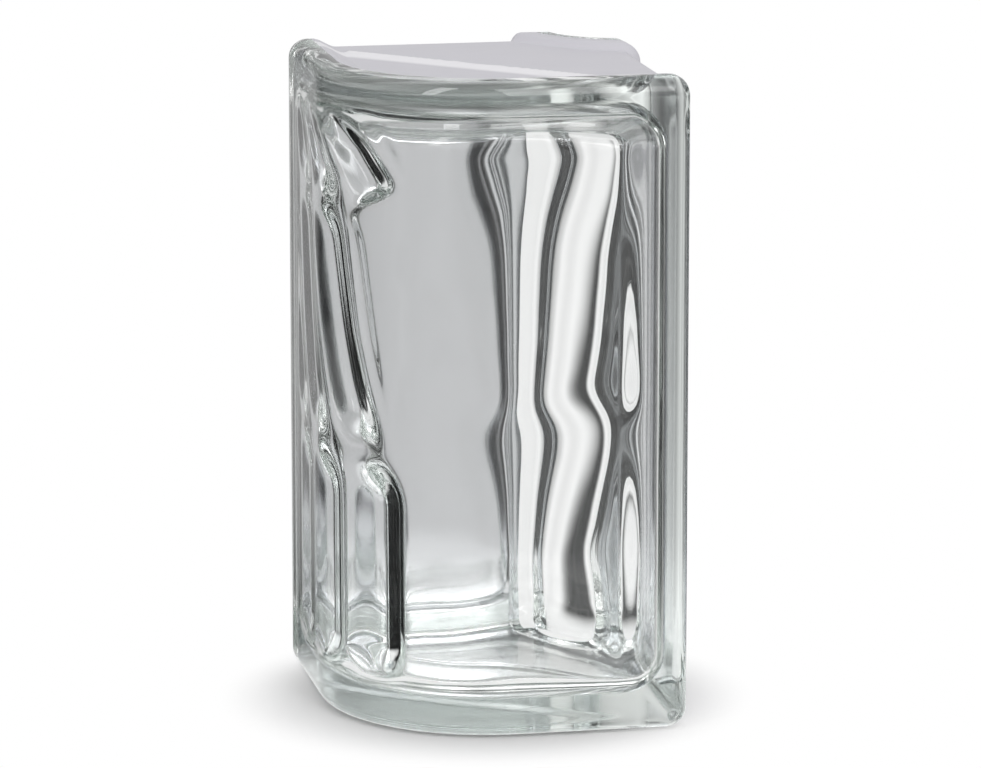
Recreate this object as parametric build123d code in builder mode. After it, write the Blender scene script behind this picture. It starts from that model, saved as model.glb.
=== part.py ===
"""Corner glass block: one hollow, sealed block of clear pressed glass that turns a wall corner.

Plan: two short wings meet in a large rounded outer corner. The back is a narrow concave face.
The two pressed halves are fused along a plane that joins the wing tips, so the block is one solid.
Millimetres, +Z up, origin at the bottom centre of the outline box, the wings along +X and +Y.
"""
import math
import os

from build123d import *

# Overall size
height = 190.0
wing = 100.0
inner_radius = 20.0
outer_radius = 50.0

# Flanges that stand proud of the mortar channel, measured inward from the faces
front_crest = 8.0
front_base = 14.0
back_crest_end = 12.0
back_base_end = 15.0
back_crest_middle = 8.0
back_base_middle = 11.0
channel_depth = 2.5
face_corner = 6.0
channel_corner = 4.0
front_arris = 5.5
back_arris = 3.0

# Fused seam, a low ridge across the top and the bottom channel
seam_setback = 5.0
seam_width = 8.0
seam_rise = 0.8
seam_overlap = 4.0

# Walls of the sealed hollow, and its rounded rims
front_wall = 7.0
end_wall = 5.5
bed_wall = 8.5
hollow_back_radius = 46.0
hollow_corner = 7.0
hollow_edge = 13.0
rim_corner = 2.0

# Waves pressed into the inner side of the two faces
front_pitch = 24.0
front_onset = 9.0
lean_pitch = 80.0
lean_middle = 18.5
lean_end = 38.0
lean_gone = 62.0
back_pitch = 24.0
back_rise = 0.5
back_flank = 66.0
wave_fringe = 8.0
fade_low = 2.0
fade_high = 15.0
front_points = 46
back_points = 16
end_points = 4
rim_turns = (0, 22.5, 45, 67.5, 90)

# Lines of the front wave, read across at heights from the floor of the hollow to its ceiling:
# share of the height, place of the steep flank, where the ripples begin, their rise, lean of the X wing
wave_lines = (
    (0.000, 72.5, 64.0, 3.1, -1.0),
    (0.260, 72.9, 64.0, 3.1, -2.4),
    (0.345, 73.0, 64.0, 3.1, -1.5),
    (0.390, 75.0, 67.0, 0.3, -0.9),
    (0.430, 78.5, 71.0, 0.3, -0.4),
    (0.470, 82.0, 73.0, 3.1, -0.3),
    (0.525, 86.0, 74.5, 3.1, -2.2),
    (0.610, 90.5, 77.3, 3.1, -1.5),
    (0.770, 95.5, 82.0, 2.6, -0.7),
    (0.820, 97.0, 86.0, 0.2, -0.1),
    (0.860, 98.0, 66.0, 2.6, 0.6),
    (0.925, 108.0, 70.0, 2.6, 1.4),
    (1.000, 119.0, 78.0, 2.6, 0.3),
)

root_half = math.sqrt(0.5)
corner = Plane(origin=(-wing / 2, -wing / 2, 0))
thickness = wing - inner_radius
inner_apex = wing - inner_radius * root_half


def on_outer_face(edge):
    """True for the rim of the rounded outer face, without the two tangent lines across it."""
    middle = edge.position_at(0.5)
    x = middle.X + wing / 2
    y = middle.Y + wing / 2
    start = edge.position_at(0)
    upright = abs(start.X - edge.position_at(1).X) + abs(start.Y - edge.position_at(1).Y) < 0.001
    if upright and x < wing - 0.001 and y < wing - 0.001:
        return False
    if x > outer_radius or y > outer_radius:
        return min(x, y) < 0.001
    return abs(math.hypot(x - outer_radius, y - outer_radius) - outer_radius) < 0.001


def on_inner_face(edge):
    """True for the rim of the narrow concave inner face."""
    middle = edge.position_at(0.5)
    reach = math.hypot(wing / 2 - middle.X, wing / 2 - middle.Y)
    return abs(reach - inner_radius) < 0.001


def ease(low, high, value):
    """Soft step from 0 to 1 between two places."""
    share = min(1, max(0, (value - low) / (high - low)))
    return share * share * (3 - 2 * share)


def wave_line(level):
    """Values of the wave lines at one level, between the two nearest heights of the table."""
    share = (level - bed_wall) / (height - 2 * bed_wall)
    above = next((row for row in wave_lines if row[0] >= share), wave_lines[-1])
    below = [row for row in wave_lines if row[0] <= share][-1]
    part = (share - below[0]) / (above[0] - below[0]) if above[0] > below[0] else 0
    return [low + part * (high - low) for low, high in zip(below, above)]


def front_wave(along, line):
    """Glass added inside the rounded outer face: upright ripples, and a slow lean across the X wing."""
    share, flank, start, rise, lean = line
    ripple = 1 + math.sin(2 * math.pi * (along - flank) / front_pitch)
    swing = math.sin(2 * math.pi * (along - lean_middle) / lean_pitch)
    swing *= 1 - ease(lean_end, lean_gone, along)
    return rise * ripple * ease(start, start + front_onset, along) + lean * swing


def back_wave(along):
    """Glass added inside the narrow back face: low upright ripples."""
    return back_rise * (1 + math.sin(2 * math.pi * (along - back_flank) / back_pitch))


def hollow_points(level, inset):
    """Plan points of the hollow at one level, all the way round from the tip of the X wing."""
    near = front_wall + inset
    far = wing - end_wall - inset
    bend = hollow_corner - inset * (hollow_corner - rim_corner) / hollow_edge
    turn = outer_radius - near
    back_radius = hollow_back_radius - inset
    reach = far - back_radius
    straight = far - bend - outer_radius
    arc = turn * math.pi / 2
    span = 2 * straight + arc
    bend_step = bend * (1 - root_half)
    run = reach - near - bend
    # The waves die away towards the floor and the ceiling of the hollow
    fade = ease(fade_low, fade_high, min(level - bed_wall, height - bed_wall - level))
    line = wave_line(level)
    points = []
    # Inner side of the rounded outer face
    for number in range(front_points + 1):
        along = span * number / front_points
        fringe = ease(0, wave_fringe, along) * ease(0, wave_fringe, span - along)
        lift = fade * fringe * front_wave(along, line)
        if along < straight:
            points.append((far - bend - along, near + lift))
        elif along > straight + arc:
            points.append((near + lift, outer_radius + along - straight - arc))
        else:
            angle = math.radians(270) - (along - straight) / turn
            x = outer_radius + (turn - lift) * math.cos(angle)
            y = outer_radius + (turn - lift) * math.sin(angle)
            points.append((x, y))
    # Inner side of the Y end
    points.append((near + bend_step, far - bend_step))
    for number in range(end_points):
        points.append((near + bend + run * number / end_points, far))
    # Inner side of the narrow back face
    for number in range(back_points + 1):
        angle = math.radians(90 - 90 * number / back_points)
        along = back_radius * math.pi / 2 * number / back_points
        radius = back_radius - fade * math.sin(math.pi * number / back_points) * back_wave(along)
        points.append((reach + radius * math.cos(angle), reach + radius * math.sin(angle)))
    # Inner side of the X end
    for number in range(end_points - 1, -1, -1):
        points.append((far, near + bend + run * number / end_points))
    points.append((far - bend_step, near + bend_step))
    return points


# Solid blank: the plan drawn up to full height, with its rims rounded
with BuildPart() as blank:
    with BuildSketch(corner):
        with BuildLine():
            Line((wing, 0), (outer_radius, 0))
            CenterArc((outer_radius, outer_radius), outer_radius, 180, 90)
            Line((0, outer_radius), (0, wing))
            Line((0, wing), (thickness, wing))
            CenterArc((wing, wing), inner_radius, 180, 90)
            Line((wing, thickness), (wing, 0))
        make_face()
    extrude(amount=height)
    fillet(blank.edges().filter_by(Axis.Y).group_by(Axis.X)[-1], radius=face_corner)
    fillet(blank.edges().filter_by(Axis.X).group_by(Axis.Y)[-1], radius=face_corner)
    fillet(blank.edges().filter_by(on_outer_face), radius=front_arris)
    fillet(blank.edges().filter_by(on_inner_face), radius=back_arris)

# Sealed hollow: plan outlines stacked up the height, drawn in at both ends to round its edges
with BuildPart() as hollow:
    rims = []
    for turn in rim_turns:
        rise = hollow_edge * (1 - math.cos(math.radians(turn)))
        rims.append((bed_wall + rise, hollow_edge * (1 - math.sin(math.radians(turn)))))
    levels = rims + [(height - level, inset) for level, inset in rims]
    for row in wave_lines:
        level = bed_wall + (height - 2 * bed_wall) * row[0]
        if abs(level - height / 2) < height / 2 - bed_wall - hollow_edge:
            levels.append((level, 0))
    for level, inset in sorted(levels):
        with BuildSketch(corner.offset(level)):
            with BuildLine():
                Spline(*hollow_points(level, inset), periodic=True)
            make_face()
    loft(ruled=True)

# Finished block: blank, mortar channel, fused seam, hollow
with BuildPart() as glass_block:
    add(blank.part)
    out = wing + 5
    crest_lines = (front_crest, back_crest_end, back_crest_middle)
    base_lines = (front_base, back_base_end, back_base_middle)
    # Channel across the top and the bottom
    for outside, floor in ((height, height - channel_depth), (0, channel_depth)):
        for level, lines in ((outside, crest_lines), (floor, base_lines)):
            near, back_end, back_middle = lines
            back = thickness - back_end
            apex = inner_apex - back_middle * root_half
            with BuildSketch(corner.offset(level)):
                with BuildLine():
                    Line((out, near), (outer_radius, near))
                    CenterArc((outer_radius, outer_radius), outer_radius - near, 180, 90)
                    Line((near, outer_radius), (near, out))
                    Line((near, out), (back, out))
                    Line((back, out), (back, wing))
                    ThreePointArc((back, wing), (apex, apex), (wing, back))
                    Line((wing, back), (out, back))
                    Line((out, back), (out, near))
                make_face()
        loft(mode=Mode.SUBTRACT)
    # Channel down the two wing ends
    end_of_x = Plane(origin=(wing / 2, -wing / 2, 0), x_dir=(0, 1, 0), z_dir=(1, 0, 0))
    end_of_y = Plane(origin=(-wing / 2, wing / 2, 0), x_dir=(1, 0, 0), z_dir=(0, 1, 0))
    for end in (end_of_x, end_of_y):
        side = 1 if end is end_of_x else -1
        for sunk, lines in ((0, crest_lines), (channel_depth, base_lines)):
            near = lines[0]
            back = thickness - lines[1]
            with BuildSketch(end.offset(-sunk)):
                with Locations(((near + back) / 2, side * height / 2)):
                    Rectangle(back - near, height + 10)
        loft(mode=Mode.SUBTRACT)
    # Rounded turns where the channel passes from the beds to the ends
    sunk_end = wing / 2 - channel_depth
    below, above = sunk_end - 0.01, sunk_end + 0.01
    turns = glass_block.edges().filter_by(Axis.Y).filter_by_position(Axis.X, below, above)
    turns += glass_block.edges().filter_by(Axis.X).filter_by_position(Axis.Y, below, above)
    fillet(turns, radius=channel_corner)
    # Fused seam, a ridge across both beds with its steep side to the back
    seam = Plane(origin=(0, 0, 0), x_dir=(1, 1, 0), z_dir=(1, -1, 0))
    seam_line = -seam_setback * root_half
    seam_half = (wing - seam_setback - 2 * front_base) * root_half + seam_overlap
    with BuildSketch(seam):
        for floor, outward in ((height - channel_depth, 1), (channel_depth, -1)):
            with BuildLine():
                Polyline(
                    (seam_line - seam_width, floor - outward),
                    (seam_line - seam_width, floor),
                    (seam_line, floor + outward * seam_rise),
                    (seam_line, floor - outward),
                    close=True,
                )
            make_face()
    extrude(amount=seam_half, both=True)
    add(hollow.part, mode=Mode.SUBTRACT)

glass_block.part.label = "glass_block"
os.makedirs("parts", exist_ok=True)
export_step(glass_block.part, "parts/glass_block.step")
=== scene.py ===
import math

import bmesh
import bpy
import numpy as np
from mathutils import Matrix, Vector


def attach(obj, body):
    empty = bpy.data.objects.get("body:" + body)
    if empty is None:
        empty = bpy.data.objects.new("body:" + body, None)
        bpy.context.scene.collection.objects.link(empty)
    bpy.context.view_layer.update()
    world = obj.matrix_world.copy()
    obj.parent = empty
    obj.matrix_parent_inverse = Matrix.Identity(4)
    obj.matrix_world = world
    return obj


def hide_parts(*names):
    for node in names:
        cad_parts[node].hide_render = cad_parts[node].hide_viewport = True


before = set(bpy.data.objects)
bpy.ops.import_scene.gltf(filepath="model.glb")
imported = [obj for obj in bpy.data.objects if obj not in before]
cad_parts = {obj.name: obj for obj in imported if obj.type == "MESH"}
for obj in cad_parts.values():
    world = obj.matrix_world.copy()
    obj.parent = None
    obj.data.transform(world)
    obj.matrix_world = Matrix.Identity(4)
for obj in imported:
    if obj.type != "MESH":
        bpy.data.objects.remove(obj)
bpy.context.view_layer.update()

# GLASS BLOCK
# One sealed hollow corner block of clear pressed glass, faintly green where the light path is long.
# Two pressed halves are fused hot along the plane between the wing tips, which leaves a low ridge.
# The mortar channel around the edges is coated, silver towards the glass and off-white outside.
wing = 100.0
thickness = 80.0
height = 190.0
outer_radius = 50.0
inner_radius = wing - thickness
root_half = math.sqrt(0.5)
inner_apex = wing - inner_radius * root_half
straight_points = 300
turn_points = 600
arc_points = 1200


def smooth_step(low, high, value):
    """Soft step from 0 to 1 between two places."""
    share = np.clip((value - low) / (high - low), 0.0, 1.0)
    return share * share * (3.0 - 2.0 * share)


def front_path(inset, end_inset):
    """Plan line parallel to the rounded outer face, from the X wing tip to the Y wing tip."""
    radius = outer_radius - inset
    run = np.linspace(wing - end_inset, outer_radius, straight_points)
    angle = np.linspace(1.5 * math.pi, math.pi, turn_points)
    first = np.column_stack([run, np.full_like(run, inset)])
    turn = outer_radius + radius * np.column_stack([np.cos(angle), np.sin(angle)])
    last = first[::-1, ::-1]
    return np.vstack([first[:-1], turn, last[1:]])


def back_path(end_gap, middle_gap, end_inset):
    """Plan arc in front of the narrow concave face, from the X wing tip to the Y wing tip."""
    side = thickness - end_gap
    apex = inner_apex - middle_gap * root_half
    centre = (side**2 + wing**2 - 2 * apex**2) / (2 * (side + wing - 2 * apex))
    radius = (centre - apex) / root_half
    x = wing - end_inset
    y = centre - math.sqrt(radius**2 - (x - centre) ** 2)
    start = math.atan2(y - centre, x - centre) % (2 * math.pi)
    angle = np.linspace(start, 2.5 * math.pi - start, arc_points)
    return np.column_stack([centre + radius * np.cos(angle), centre + radius * np.sin(angle)])


def along(path, distance):
    """Points at given distances along a plan line."""
    steps = np.concatenate([[0.0], np.cumsum(np.hypot(*np.diff(path, axis=0).T))])
    x = np.interp(distance, steps, path[:, 0])
    y = np.interp(distance, steps, path[:, 1])
    return np.column_stack([x, y])


def length_of(path):
    """Length of a plan line."""
    return float(np.hypot(*np.diff(path, axis=0).T).sum())


# Belts: closed lines over the top, down one end, back below and up the other, from the outer face to the back
wide_steps = 144
tall_steps = 36
bend_steps = 7


def belt(path, edge, bend):
    """One closed line around the block at one depth: over the top, down one end, back below and up."""
    total = length_of(path)
    low = edge
    high = height - edge
    over = along(path, np.linspace(bend, total - bend, wide_steps))
    turn = np.linspace(0, math.pi / 2, bend_steps + 2)[1:-1]
    reach = along(path, total - bend + bend * np.sin(turn))
    near = along(path, bend - bend * np.sin(turn))
    down = np.linspace(high - bend, low + bend, tall_steps)
    drop = bend - bend * np.cos(turn)
    tip = np.tile(path[-1], (tall_steps, 1))
    start = np.tile(path[0], (tall_steps, 1))
    rows = [
        np.column_stack([over, np.full(wide_steps, high)]),
        np.column_stack([reach, high - drop]),
        np.column_stack([tip, down]),
        np.column_stack([reach[::-1], low + drop[::-1]]),
        np.column_stack([over[::-1], np.full(wide_steps, low)]),
        np.column_stack([near, low + drop]),
        np.column_stack([start, down[::-1]]),
        np.column_stack([near[::-1], high - drop[::-1]]),
    ]
    return np.vstack(rows)


front_arris = 5.5
back_arris = 3.0
face_corner = 6.0
channel_depth = 2.5
channel_corner = 4.0
crest_inset = 6.0
slope_inset = 7.0
coat_inset = 6.9
front_base = 14.0
back_base_end = 15.0
back_base_middle = 11.0
back_crest_end = 12.0
back_crest_middle = 8.0
coated_crest = 0.6
front_arris_belts = 11
front_slope_belts = 17
floor_belts = 36
back_slope_belts = 8
back_crest_belts = 4
back_arris_belts = 8
floor_points = 1500

belts = []
coated = []
# Rounded arris of the outer face
for turn in np.radians(np.linspace(0, 90, front_arris_belts)):
    edge = front_arris * (1 - math.sin(turn))
    inset = front_arris * (1 - math.cos(turn))
    belts.append(belt(front_path(inset, edge), edge, face_corner * math.sin(turn)))
    coated.append(False)
# Front flange, from its crest down to the channel
for inset in np.linspace(crest_inset, front_base, front_slope_belts):
    share = smooth_step(slope_inset, front_base, inset)
    edge = channel_depth * share
    bend = face_corner + (channel_corner - face_corner) * share
    belts.append(belt(front_path(inset, edge), edge, bend))
    coated.append(inset > coat_inset)
# Floor of the channel
fractions = np.linspace(0, 1, floor_points)
floor_front = front_path(front_base, channel_depth)
floor_back = back_path(back_base_end, back_base_middle, channel_depth)
front_line = along(floor_front, fractions * length_of(floor_front))
back_line = along(floor_back, fractions * length_of(floor_back))
for number in range(1, floor_belts + 1):
    share = number / floor_belts
    blend = (1 - share) * front_line + share * back_line
    belts.append(belt(blend, channel_depth, channel_corner))
    coated.append(True)
# Back flange, from the channel up to its crest
for gap_share in np.linspace(0, 1, back_slope_belts + 1)[1:]:
    end_gap = back_base_end - (back_base_end - back_crest_end) * gap_share
    middle_gap = back_base_middle - (back_base_middle - back_crest_middle) * gap_share
    share = 1 - smooth_step(0.0, 1.0, gap_share)
    edge = channel_depth * share
    bend = face_corner + (channel_corner - face_corner) * share
    belts.append(belt(back_path(end_gap, middle_gap, edge), edge, bend))
    coated.append(True)
# Crest of the back flange
for gap_share in np.linspace(0, 1, back_crest_belts + 1)[1:]:
    end_gap = back_crest_end - (back_crest_end - back_arris) * gap_share
    middle_gap = back_crest_middle - (back_crest_middle - back_arris) * gap_share
    belts.append(belt(back_path(end_gap, middle_gap, 0.0), 0.0, face_corner))
    coated.append(gap_share < coated_crest)
# Rounded arris of the narrow back face
for turn in np.radians(np.linspace(90, 0, back_arris_belts + 1))[1:]:
    edge = back_arris * (1 - math.sin(turn))
    gap = back_arris * (1 - math.cos(turn))
    belts.append(belt(back_path(gap, gap, edge), edge, face_corner * math.sin(turn)))
    coated.append(False)

# Fused seam on the floor of the top and the bottom channel
seam_line = 95.0
seam_width = 8.0
seam_rise = 0.8
seam_drop = 2.4


def seam_relief(points):
    """Height of the fused ridge over the channel floor: a long rise from the front, steep behind."""
    behind = (points[:, 0] + points[:, 1] - seam_line) * root_half
    rise = smooth_step(-seam_width, 0.0, behind)
    return seam_rise * rise * (1.0 - smooth_step(0.0, seam_drop, behind))


first_floor = front_arris_belts + front_slope_belts
below_start = wide_steps + 2 * bend_steps + tall_steps
for line in belts[first_floor : first_floor + floor_belts]:
    lift = seam_relief(line)
    column = np.arange(len(line))
    on_top = column < wide_steps
    on_bottom = (column >= below_start) & (column < below_start + wide_steps)
    line[:, 2] += np.where(on_top, lift, 0.0) - np.where(on_bottom, lift, 0.0)

vertices = []
faces = []
finishes = []
clear_finish = 0
ends_finish = 1
beds_finish = 2
first_end = wide_steps + bend_steps
second_end = 2 * wide_steps + 3 * bend_steps + tall_steps
end_columns = set(range(first_end, first_end + tall_steps))
end_columns |= set(range(second_end, second_end + tall_steps))


def add_grid(points, closed, coat, flip):
    """Adds a grid of points row by row, joined by four-sided faces."""
    rows, columns = points.shape[:2]
    base = len(vertices)
    vertices.extend(points.reshape(-1, 3).tolist())
    for row in range(rows - 1):
        for column in range(columns if closed else columns - 1):
            after = (column + 1) % columns
            a = base + row * columns + column
            b = base + row * columns + after
            c = base + (row + 1) * columns + after
            d = base + (row + 1) * columns + column
            faces.append((d, c, b, a) if flip else (a, b, c, d))
            if coat is None or not coat[row]:
                finishes.append(clear_finish)
            elif row >= first_floor and column in end_columns:
                finishes.append(ends_finish)
            else:
                finishes.append(beds_finish)


add_grid(np.array(belts), True, coated[1:], True)


def face_grid(path, edge):
    """Grid over a whole show face, matching the first or last belt point for point."""
    places = along(path, np.linspace(0, length_of(path), wide_steps))
    levels = np.linspace(height - edge, edge, tall_steps)
    grid = np.zeros((tall_steps, wide_steps, 3))
    grid[:, :, :2] = places[None, :, :]
    grid[:, :, 2] = levels[:, None]
    return grid


add_grid(face_grid(front_path(0.0, front_arris), front_arris), False, None, False)
add_grid(face_grid(back_path(0.0, 0.0, back_arris), back_arris), False, None, True)

# Sealed hollow, its rounded rims, and the waves pressed into the inner side of the two show faces
front_wall = 7.0
end_wall = 5.5
bed_wall = 8.5
hollow_back_radius = 46.0
hollow_corner = 7.0
hollow_edge = 13.0
rim_corner = 2.0
front_pitch = 24.0
front_onset = 9.0
lean_pitch = 80.0
lean_middle = 18.5
lean_end = 38.0
lean_gone = 62.0
back_pitch = 24.0
back_rise = 0.5
back_flank = 66.0
wave_fringe = 8.0
fade_low = 2.0
fade_high = 15.0
soften_reach = 5.0
soften_turn = 1.5
soften_points = 15
front_points = 160
bend_points = 9
end_points = 12
back_points = 90

# Lines of the front wave, read across at heights from the floor of the hollow to its ceiling:
# share of the height, place of the steep flank, where the ripples begin, their rise, lean of the X wing
wave_lines = np.array([
    (0.000, 72.5, 64.0, 3.1, -1.0),
    (0.260, 72.9, 64.0, 3.1, -2.4),
    (0.345, 73.0, 64.0, 3.1, -1.5),
    (0.390, 75.0, 67.0, 0.3, -0.9),
    (0.430, 78.5, 71.0, 0.3, -0.4),
    (0.470, 82.0, 73.0, 3.1, -0.3),
    (0.525, 86.0, 74.5, 3.1, -2.2),
    (0.610, 90.5, 77.3, 3.1, -1.5),
    (0.770, 95.5, 82.0, 2.6, -0.7),
    (0.820, 97.0, 86.0, 0.2, -0.1),
    (0.860, 98.0, 66.0, 2.6, 0.6),
    (0.925, 108.0, 70.0, 2.6, 1.4),
    (1.000, 119.0, 78.0, 2.6, 0.3),
])


def wave_line(level):
    """Values of the wave lines at one level, their kinks softened over a few millimetres."""
    nearby = level + np.linspace(-soften_reach, soften_reach, soften_points)
    share = (nearby - bed_wall) / (height - 2 * bed_wall)
    weight = np.cos(np.linspace(-soften_turn, soften_turn, soften_points))
    values = []
    for column in wave_lines[:, 1:].T:
        values.append(np.average(np.interp(share, wave_lines[:, 0], column), weights=weight))
    return values


def front_wave(distance, level):
    """Glass added inside the rounded outer face: upright ripples, and a slow lean across the X wing."""
    flank, start, rise, lean = wave_line(level)
    ripple = 1 + np.sin(2 * math.pi * (distance - flank) / front_pitch)
    swing = np.sin(2 * math.pi * (distance - lean_middle) / lean_pitch)
    swing = swing * (1 - smooth_step(lean_end, lean_gone, distance))
    return rise * ripple * smooth_step(start, start + front_onset, distance) + lean * swing


def back_wave(distance):
    """Glass added inside the narrow back face: low upright ripples."""
    return back_rise * (1 + np.sin(2 * math.pi * (distance - back_flank) / back_pitch))


def hollow_loop(level, inset):
    """Plan line of the hollow at one level, all the way round from the tip of the X wing."""
    near = front_wall + inset
    far = wing - end_wall - inset
    bend = hollow_corner - inset * (hollow_corner - rim_corner) / hollow_edge
    turn = outer_radius - near
    back_radius = hollow_back_radius - inset
    reach = far - back_radius
    straight = far - bend - outer_radius
    arc = turn * math.pi / 2
    span = 2 * straight + arc
    fade = smooth_step(fade_low, fade_high, min(level - bed_wall, height - bed_wall - level))
    # Inner side of the rounded outer face
    distance = np.linspace(0, span, front_points)
    fringe = smooth_step(0.0, wave_fringe, distance) * smooth_step(0.0, wave_fringe, span - distance)
    lift = fade * fringe * front_wave(distance, level)
    angle = math.radians(270) - np.clip(distance - straight, 0, arc) / turn
    x = outer_radius + (turn - lift) * np.cos(angle)
    y = outer_radius + (turn - lift) * np.sin(angle)
    x = x + np.clip(straight - distance, 0, None)
    y = y + np.clip(distance - straight - arc, 0, None)
    points = [np.column_stack([x, y])]
    # Inner side of the Y end
    corner = np.radians(np.linspace(180, 90, bend_points))[1:-1]
    x = near + bend + bend * np.cos(corner)
    y = far - bend + bend * np.sin(corner)
    points.append(np.column_stack([x, y]))
    run = np.linspace(near + bend, reach, end_points)
    points.append(np.column_stack([run, np.full_like(run, far)]))
    # Inner side of the narrow back face
    share = np.linspace(0, 1, back_points)[1:-1]
    distance = back_radius * math.pi / 2 * share
    fringe = np.sin(math.pi * share)
    radius = back_radius - fade * fringe * back_wave(distance)
    angle = math.pi / 2 * (1 - share)
    points.append(np.column_stack([reach + radius * np.cos(angle), reach + radius * np.sin(angle)]))
    # Inner side of the X end
    points.append(np.column_stack([np.full_like(run, far), run[::-1]]))
    corner = np.radians(np.linspace(0, -90, bend_points))[1:-1]
    x = far - bend + bend * np.cos(corner)
    y = near + bend + bend * np.sin(corner)
    points.append(np.column_stack([x, y]))
    return np.vstack(points)


rim_levels = 12
tall_levels = 130
levels = []
for turn in np.radians(np.linspace(0, 90, rim_levels)):
    level = bed_wall + hollow_edge * (1 - math.cos(turn))
    levels.append((level, hollow_edge * (1 - math.sin(turn))))
tall = np.linspace(bed_wall + hollow_edge, height - bed_wall - hollow_edge, tall_levels)
levels += [(level, 0.0) for level in tall[1:-1]]
levels += [(height - level, inset) for level, inset in reversed(levels[:rim_levels])]
loops = []
for level, inset in levels:
    loop = hollow_loop(level, inset)
    loops.append(np.column_stack([loop, np.full(len(loop), level)]))
add_grid(np.array(loops), True, None, False)

# Floor and ceiling of the hollow, as rings drawn in to a middle point
middle_share = 0.48
ring_count = 14
middle_place = wing * middle_share
for rim, flip in ((loops[0], True), (loops[-1], False)):
    centre = np.array([middle_place, middle_place, rim[0, 2]])
    shares = np.linspace(0, 1, ring_count)
    rings = np.array([rim + (centre - rim) * share for share in shares[:-1]])
    add_grid(rings, True, None, flip)
    hub = len(vertices)
    vertices.append(centre.tolist())
    count = len(rim)
    base = hub - count
    for column in range(count):
        after = (column + 1) % count
        faces.append((base + after, base + column, hub) if flip else (base + column, base + after, hub))
        finishes.append(clear_finish)

metres = 0.001
weld_distance = 2e-6
places = np.array(vertices)
places[:, :2] -= wing / 2
places *= metres
mesh = bpy.data.meshes.new("clear_block")
mesh.from_pydata(places.tolist(), [], faces)
mesh.polygons.foreach_set("material_index", np.array(finishes, np.int32))
mesh.polygons.foreach_set("use_smooth", np.ones(len(faces), bool))
work = bmesh.new()
work.from_mesh(mesh)
bmesh.ops.remove_doubles(work, verts=work.verts, dist=weld_distance)
work.to_mesh(mesh)
work.free()
block = bpy.data.objects.new("clear_block", mesh)
bpy.context.scene.collection.objects.link(block)


def new_material(name):
    """New material with its nodes, links and main shader."""
    material = bpy.data.materials.new(name)
    material.use_nodes = True
    nodes = material.node_tree.nodes
    return material, nodes, material.node_tree.links, nodes["Principled BSDF"]


def math_node(nodes, links, operation, first, second):
    """Result of one sum on two sockets."""
    node = nodes.new("ShaderNodeMath")
    node.operation = operation
    links.new(first, node.inputs[0])
    links.new(second, node.inputs[1])
    return node.outputs[0]


def soft_range(nodes, links, value, low, high, start=0.0, end=1.0):
    """Soft change from a start to an end value between two places."""
    node = nodes.new("ShaderNodeMapRange")
    node.interpolation_type = "SMOOTHSTEP"
    node.inputs["From Min"].default_value = low
    node.inputs["From Max"].default_value = high
    node.inputs["To Min"].default_value = start
    node.inputs["To Max"].default_value = end
    links.new(value, node.inputs["Value"])
    return node.outputs["Result"]


def fill_with_glass(nodes, links):
    """Faint green of the glass, which deepens with the length of the light path."""
    absorption = nodes.new("ShaderNodeVolumeAbsorption")
    absorption.inputs["Color"].default_value = (0.58, 0.80, 0.69, 1.0)
    absorption.inputs["Density"].default_value = 2.5
    links.new(absorption.outputs["Volume"], nodes["Material Output"].inputs["Volume"])


def clear_glass():
    """Clear pressed glass, its surface very slightly uneven."""
    glass, nodes, links, shader = new_material("clear_glass")
    shader.inputs["Base Color"].default_value = (1.0, 1.0, 1.0, 1.0)
    shader.inputs["Roughness"].default_value = 0.0
    shader.inputs["IOR"].default_value = 1.52
    shader.inputs["Transmission Weight"].default_value = 1.0
    where = nodes.new("ShaderNodeTexCoord")
    unevenness = nodes.new("ShaderNodeTexNoise")
    unevenness.inputs["Scale"].default_value = 55.0
    unevenness.inputs["Detail"].default_value = 1.0
    links.new(where.outputs["Object"], unevenness.inputs["Vector"])
    swell = nodes.new("ShaderNodeBump")
    swell.inputs["Strength"].default_value = 0.15
    swell.inputs["Distance"].default_value = 0.0006
    links.new(unevenness.outputs["Fac"], swell.inputs["Height"])
    links.new(swell.outputs["Normal"], shader.inputs["Normal"])
    fill_with_glass(nodes, links)
    return glass


# Painted highlight on the fused ridge: where it reaches full strength up the long slope, and where it fades
# out around the crown
light_foot_share = 0.6
crown_before = 0.2
crown_after = 0.6


def seam_paint_and_highlight(nodes, links):
    """Off-white paint, a little mottled, with a painted highlight: lighter on the long slope of the fused
    ridge.
    """
    where = nodes.new("ShaderNodeTexCoord")
    across = nodes.new("ShaderNodeVectorMath")
    across.operation = "DOT_PRODUCT"
    across.inputs[1].default_value = (root_half / metres, root_half / metres, 0)
    links.new(where.outputs["Object"], across.inputs[0])
    place = across.outputs["Value"]
    middle = (seam_line - wing) * root_half
    light_foot = middle - light_foot_share * seam_width
    foot = soft_range(nodes, links, place, middle - seam_width, light_foot)
    crown = soft_range(nodes, links, place, middle - crown_before, middle + crown_after, 1.0, 0.0)
    mottle = nodes.new("ShaderNodeTexNoise")
    mottle.inputs["Scale"].default_value = 60.0
    mottle.inputs["Detail"].default_value = 4.0
    links.new(where.outputs["Object"], mottle.inputs["Vector"])
    paint = nodes.new("ShaderNodeMix")
    paint.data_type = "RGBA"
    paint.inputs[6].default_value = (0.595, 0.585, 0.63, 1.0)
    paint.inputs[7].default_value = (0.645, 0.635, 0.675, 1.0)
    links.new(mottle.outputs["Fac"], paint.inputs[0])
    # Painted highlight: a lighter band on the long slope of the fused ridge, fading out at its crown
    ridge = nodes.new("ShaderNodeMix")
    ridge.data_type = "RGBA"
    ridge.inputs[7].default_value = (0.86, 0.85, 0.88, 1.0)
    links.new(math_node(nodes, links, "MULTIPLY", foot, crown), ridge.inputs[0])
    links.new(paint.outputs[2], ridge.inputs[6])
    return ridge.outputs[2]


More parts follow.
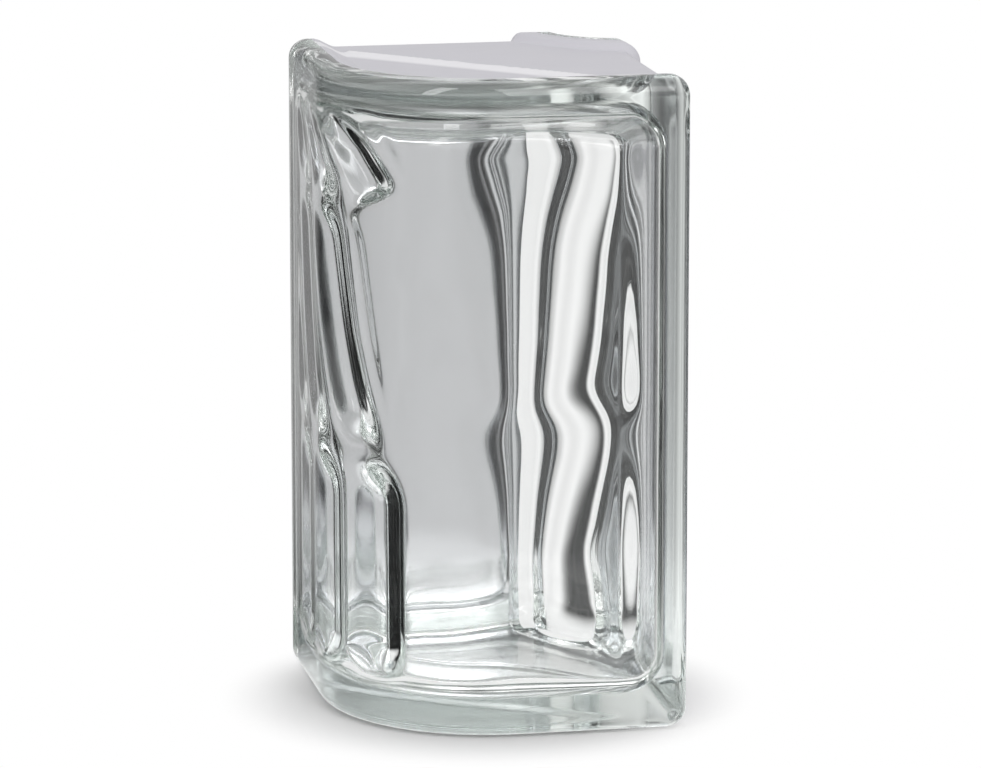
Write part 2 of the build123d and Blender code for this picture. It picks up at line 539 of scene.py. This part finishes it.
def coat_material(name, roughness, tint):
    """Coat of the mortar channel: off-white paint with a painted highlight on the fused ridge seen from
    outside, silver seen through the glass.
    """
    coat, nodes, links, shader = new_material(name)
    links.new(seam_paint_and_highlight(nodes, links), shader.inputs["Base Color"])
    shader.inputs["Roughness"].default_value = 0.55
    silver = nodes.new("ShaderNodeBsdfPrincipled")
    silver.inputs["Base Color"].default_value = tint
    silver.inputs["Metallic"].default_value = 1.0
    silver.inputs["Roughness"].default_value = roughness
    side = nodes.new("ShaderNodeNewGeometry")
    mix = nodes.new("ShaderNodeMixShader")
    links.new(side.outputs["Backfacing"], mix.inputs[0])
    links.new(shader.outputs[0], mix.inputs[1])
    links.new(silver.outputs[0], mix.inputs[2])
    links.new(mix.outputs[0], nodes["Material Output"].inputs["Surface"])
    fill_with_glass(nodes, links)
    return coat


mesh.materials.append(clear_glass())
mesh.materials.append(coat_material("silvered_ends", 0.09, (0.915, 0.92, 0.94, 1.0)))
mesh.materials.append(coat_material("silvered_beds", 0.18, (0.94, 0.94, 0.935, 1.0)))
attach(block, "root")
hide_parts("glass_block")

# STUDIO
# Pale paper floor and soft light, with two soft boxes high in front and to the left. The camera sees white.
# Glass sees white behind the block, a dark side of the room to the left and a dark gap behind to the right.
# The dark bearings give the glass its black streaks.
scene = bpy.context.scene
scene.view_settings.view_transform = "Standard"
scene.cycles.max_bounces = 40
scene.cycles.transmission_bounces = 40
scene.cycles.glossy_bounces = 16

floor_half = 6.0
floor_drop = 0.0002
floor_corners = [
    (-floor_half, -floor_half, 0),
    (floor_half, -floor_half, 0),
    (floor_half, floor_half, 0),
    (-floor_half, floor_half, 0),
]
floor_mesh = bpy.data.meshes.new("floor")
floor_mesh.from_pydata(floor_corners, [], [(0, 1, 2, 3)])
floor = bpy.data.objects.new("floor", floor_mesh)
floor.location.z = -floor_drop
scene.collection.objects.link(floor)


def blend_values(nodes, links, factor, first, second):
    """Mix of two values, each a number or a socket."""
    node = nodes.new("ShaderNodeMix")
    links.new(factor, node.inputs[0])
    for value, socket in ((first, node.inputs[2]), (second, node.inputs[3])):
        if isinstance(value, float):
            socket.default_value = value
        else:
            links.new(value, socket)
    return node.outputs[0]


def around(nodes, links, place, marks):
    """Brightness by compass bearing in degrees: 0 is straight behind the block, 90 to its right."""
    parts = nodes.new("ShaderNodeSeparateXYZ")
    links.new(place, parts.inputs[0])
    turn = math_node(nodes, links, "ARCTAN2", parts.outputs["X"], parts.outputs["Y"])
    share = nodes.new("ShaderNodeMapRange")
    share.inputs["From Min"].default_value = -math.pi
    share.inputs["From Max"].default_value = math.pi
    links.new(turn, share.inputs["Value"])
    ring = nodes.new("ShaderNodeValToRGB")
    ring.color_ramp.interpolation = "EASE"
    stops = ring.color_ramp.elements
    stops[0].position = 0.0
    stops[1].position = 1.0
    front_tone = marks[0][1]
    for stop in (stops[0], stops[1]):
        stop.color = (front_tone, front_tone, front_tone, 1)
    for degrees, tone in marks[1:]:
        stop = stops.new((degrees + 180) / 360)
        stop.color = (tone, tone, tone, 1)
    links.new(share.outputs["Result"], ring.inputs["Fac"])
    return ring.outputs["Color"]


def glass_rays(nodes, links, path):
    """One for rays that come off or through the glass, else nothing."""
    return math_node(nodes, links, "ADD", path.outputs["Is Glossy Ray"], path.outputs["Is Transmission Ray"])


# Bearing and tone: grey in front, dark to the left, white behind, a dark gap behind to the right, grey again
room_marks = (
    (180, 0.66),
    (-178, 0.66),
    (-164, 0.01),
    (-32, 0.01),
    (-14, 0.45),
    (2, 0.70),
    (14, 1.00),
    (26, 0.90),
    (37, 1.00),
    (46, 0.03),
    (66, 0.03),
    (84, 0.66),
    (120, 0.72),
)
shadow_start = 0.048
shadow_end = 0.080
under_tone = 0.9
under_start = 0.06
under_end = 0.095
white = 1.0

paper, nodes, links, shader = new_material("white_paper")
shader.inputs["Base Color"].default_value = (0.92, 0.92, 0.92, 1.0)
shader.inputs["Roughness"].default_value = 0.9
where = nodes.new("ShaderNodeTexCoord")
reach = nodes.new("ShaderNodeVectorMath")
reach.operation = "LENGTH"
links.new(where.outputs["Object"], reach.inputs[0])
distance = reach.outputs["Value"]
# For glass rays the paper glows with the room's tones by bearing, and evenly bright at under_tone under and
# close around the block: painted light where the block's shade falls
tone = around(nodes, links, where.outputs["Object"], room_marks)
beyond = soft_range(nodes, links, distance, under_start, under_end)
tone = blend_values(nodes, links, beyond, under_tone, tone)
path = nodes.new("ShaderNodeLightPath")
to_camera = path.outputs["Is Camera Ray"]
glow = nodes.new("ShaderNodeEmission")
links.new(blend_values(nodes, links, to_camera, tone, white), glow.inputs["Strength"])
# The camera sees the lit paper close to the block, so that the shadow there stays
shadow = soft_range(nodes, links, distance, shadow_start, shadow_end)
share = blend_values(nodes, links, to_camera, glass_rays(nodes, links, path), shadow)
mix = nodes.new("ShaderNodeMixShader")
links.new(share, mix.inputs[0])
links.new(shader.outputs[0], mix.inputs[1])
links.new(glow.outputs[0], mix.inputs[2])
links.new(mix.outputs[0], nodes["Material Output"].inputs["Surface"])
floor_mesh.materials.append(paper)

sky_marks = ((180, 1.6), (-120, 1.4), (-40, 1.0), (40, 1.0), (120, 1.4))
sky_low = 0.10
sky_high = 0.34
plain_light = 0.66

world = bpy.data.worlds.new("studio")
scene.world = world
world.use_nodes = True
nodes = world.node_tree.nodes
links = world.node_tree.links
plain = nodes["Background"]
plain.inputs["Color"].default_value = (1, 1, 1, 1)
plain.inputs["Strength"].default_value = plain_light
backdrop = nodes.new("ShaderNodeBackground")
backdrop.inputs["Color"].default_value = (1, 1, 1, 1)
backdrop.inputs["Strength"].default_value = white
room = nodes.new("ShaderNodeBackground")
where = nodes.new("ShaderNodeTexCoord")
parts = nodes.new("ShaderNodeSeparateXYZ")
links.new(where.outputs["Generated"], parts.inputs[0])
walls = around(nodes, links, where.outputs["Generated"], room_marks)
sky = around(nodes, links, where.outputs["Generated"], sky_marks)
sky_share = soft_range(nodes, links, parts.outputs["Z"], sky_low, sky_high)
links.new(blend_values(nodes, links, sky_share, walls, sky), room.inputs["Strength"])
path = nodes.new("ShaderNodeLightPath")
for_glass = nodes.new("ShaderNodeMixShader")
links.new(glass_rays(nodes, links, path), for_glass.inputs[0])
links.new(plain.outputs[0], for_glass.inputs[1])
links.new(room.outputs[0], for_glass.inputs[2])
for_camera = nodes.new("ShaderNodeMixShader")
links.new(path.outputs["Is Camera Ray"], for_camera.inputs[0])
links.new(for_glass.outputs[0], for_camera.inputs[1])
links.new(backdrop.outputs[0], for_camera.inputs[2])
links.new(for_camera.outputs[0], nodes["World Output"].inputs["Surface"])

lamp_aim = Vector((0, 0, 0.1))
lamp_distance = 1.2
lamp_height = 0.9
lamp_power = 2.4
lamp_tilt = math.radians(45)
for name, bearing, width in (("soft_front", 169, 0.30), ("soft_left", -131, 0.20)):
    lamp_data = bpy.data.lights.new(name, "AREA")
    lamp_data.shape = "RECTANGLE"
    lamp_data.size = width
    lamp_data.size_y = lamp_height
    lamp_data.energy = lamp_power
    lamp = bpy.data.objects.new(name, lamp_data)
    turn = math.radians(bearing)
    level = math.cos(lamp_tilt)
    direction = Vector((math.sin(turn) * level, math.cos(turn) * level, math.sin(lamp_tilt)))
    lamp.location = lamp_aim + direction * lamp_distance
    lamp.rotation_euler = direction.to_track_quat("Z", "Y").to_euler()
    scene.collection.objects.link(lamp)

# CAMERA
# The photograph's viewing angle and framing, found by fitting the outline of the block.
# A long lens, so that the upright edges stay almost parallel.
focal_pixels = 5522.2
image_width = 981.0
sensor_width = 36.0
camera_distance = 1.6
azimuth = math.radians(-11.37)
elevation = math.radians(11.815)
camera_aim = Vector((-0.000452, -0.010, 0.095532))
camera_data = bpy.data.cameras.new("camera")
camera_data.lens = focal_pixels * sensor_width / image_width
camera_data.sensor_width = sensor_width
camera_data.clip_end = 50.0
camera = bpy.data.objects.new("camera", camera_data)
level = math.cos(elevation)
back = Vector((math.sin(azimuth) * level, -math.cos(azimuth) * level, math.sin(elevation)))
camera.location = camera_aim + back * camera_distance
camera.rotation_euler = (-back).to_track_quat("-Z", "Y").to_euler()
scene.collection.objects.link(camera)
scene.camera = camera

bpy.context.view_layer.update()
